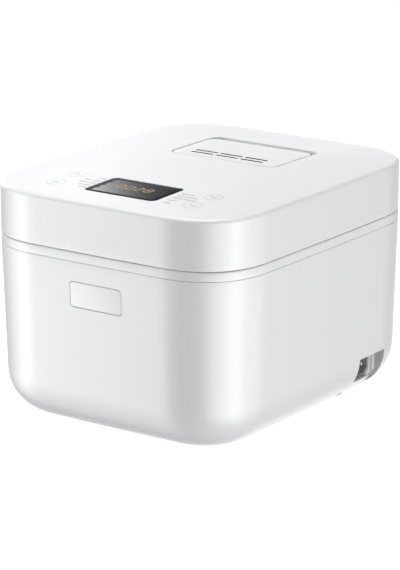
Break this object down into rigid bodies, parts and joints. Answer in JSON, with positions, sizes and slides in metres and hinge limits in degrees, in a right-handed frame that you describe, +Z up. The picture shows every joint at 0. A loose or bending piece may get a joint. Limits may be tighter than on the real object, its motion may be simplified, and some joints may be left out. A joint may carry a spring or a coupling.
{
  "type": "rice cooker",
  "caption": "Box-shaped household rice cooker with a full-top hinged lid, push-button latch, lift-out steam vent cover, inner pot and recessed power inlet.",
  "frame": {"origin": "centre of the bounding box in plan, on the surface that the rubber feet stand on", "axes": "+Z up; -Y towards the front with the release button; +X towards the side with the power inlet"},
  "size_m": [0.2484, 0.3, 0.2013],
  "materials": {
    "white_casing": "satin gloss white polypropylene, no paint",
    "grey_plastic": "fine-grained light grey plastic",
    "dark_plastic": "matte black plastic",
    "rubber": "matte grey rubber",
    "silicone": "translucent white silicone",
    "steel": "plain bright steel",
    "aluminium": "cast or spun aluminium, satin",
    "pot_coating": "dark speckled non-stick coating",
    "mica": "mica-insulated band",
    "window": "polished black display window",
    "circuit_board": "green solder mask"
  },
  "bodies": {
    "body": {"outer_shell": "white_casing", "collar_ring": "white_casing", "base_plate": "grey_plastic", "base_screw_front": "steel", "base_screw_left": "steel", "base_screw_rear": "steel", "base_screw_right": "steel", "foot_front_left": "rubber", "foot_front_right": "rubber", "foot_rear_left": "rubber", "foot_rear_right": "rubber", "inner_housing": "steel", "keep_warm_band": "mica", "inner_pot": "pot_coating", "heating_plate": "aluminium", "heating_element": "steel", "thermostat_bracket": "steel", "thermostat_spring": "steel", "thermal_fuse": "silicone", "power_board": "circuit_board", "relay": "dark_plastic", "transformer": "dark_plastic", "terminal_block": "dark_plastic", "capacitor": "dark_plastic", "power_inlet": "dark_plastic", "inlet_pin_line": "steel", "inlet_pin_earth": "steel", "inlet_pin_neutral": "steel", "inlet_bay": "grey_plastic", "vent_grille": "grey_plastic", "button_spring_left": "steel", "button_spring_right": "steel", "latch_bracket": "grey_plastic", "latch_pin": "steel", "hinge_bracket": "white_casing", "hinge_pin": "steel", "hinge_spring": "steel"},
    "lid": {"lid_cover": "white_casing", "lid_liner": "grey_plastic", "lid_screw_front_left": "steel", "lid_screw_rear_left": "steel", "lid_screw_front_right": "steel", "lid_screw_rear_right": "steel", "latch_striker": "grey_plastic", "display_window": "window", "display_module": "dark_plastic", "control_board": "circuit_board", "inner_lid_plate": "aluminium", "sealing_ring": "silicone", "inner_lid_knob": "silicone", "lid_temperature_sensor": "steel", "valve_gasket": "silicone", "lid_hinge_arm": "white_casing"},
    "vent_cover": {"steam_cover": "white_casing", "steam_valve_seat": "silicone", "valve_ball": "silicone"},
    "button": {"release_button": "white_casing"},
    "latch": {"latch_hook": "grey_plastic"},
    "thermostat": {"thermostat_sensor": "aluminium"}
  },
  "joints": [
    {"name": "lid_hinge", "type": "hinge", "parent": "body", "child": "lid", "pos_m": [0, 0.14607, 0.147], "axis": [-1, 0, 0], "range_deg": [0, 85], "deforming": ["hinge_spring"]},
    {"name": "vent_cover_lift", "type": "slide", "parent": "lid", "child": "vent_cover", "axis": [0, 0, 1], "range_m": [0, 0.035]},
    {"name": "button_press", "type": "slide", "parent": "body", "child": "button", "axis": [0, 1, 0], "range_m": [0, 0.003], "stiffness_N_per_m": 900, "springref_m": -0.002, "deforming": ["button_spring_left", "button_spring_right"]},
    {"name": "latch_pivot", "type": "hinge", "parent": "body", "child": "latch", "pos_m": [0, -0.14163, 0.138], "axis": [1, 0, 0], "range_deg": [0, 10.6]},
    {"name": "thermostat_travel", "type": "slide", "parent": "body", "child": "thermostat", "axis": [0, 0, 1], "range_m": [-0.003, 0], "stiffness_N_per_m": 400, "springref_m": 0.002, "deforming": ["thermostat_spring"]}
  ],
  "couplings": [
    {"joint": "latch_pivot", "follows": "button_press", "rad_per_m": 61}
  ]
}
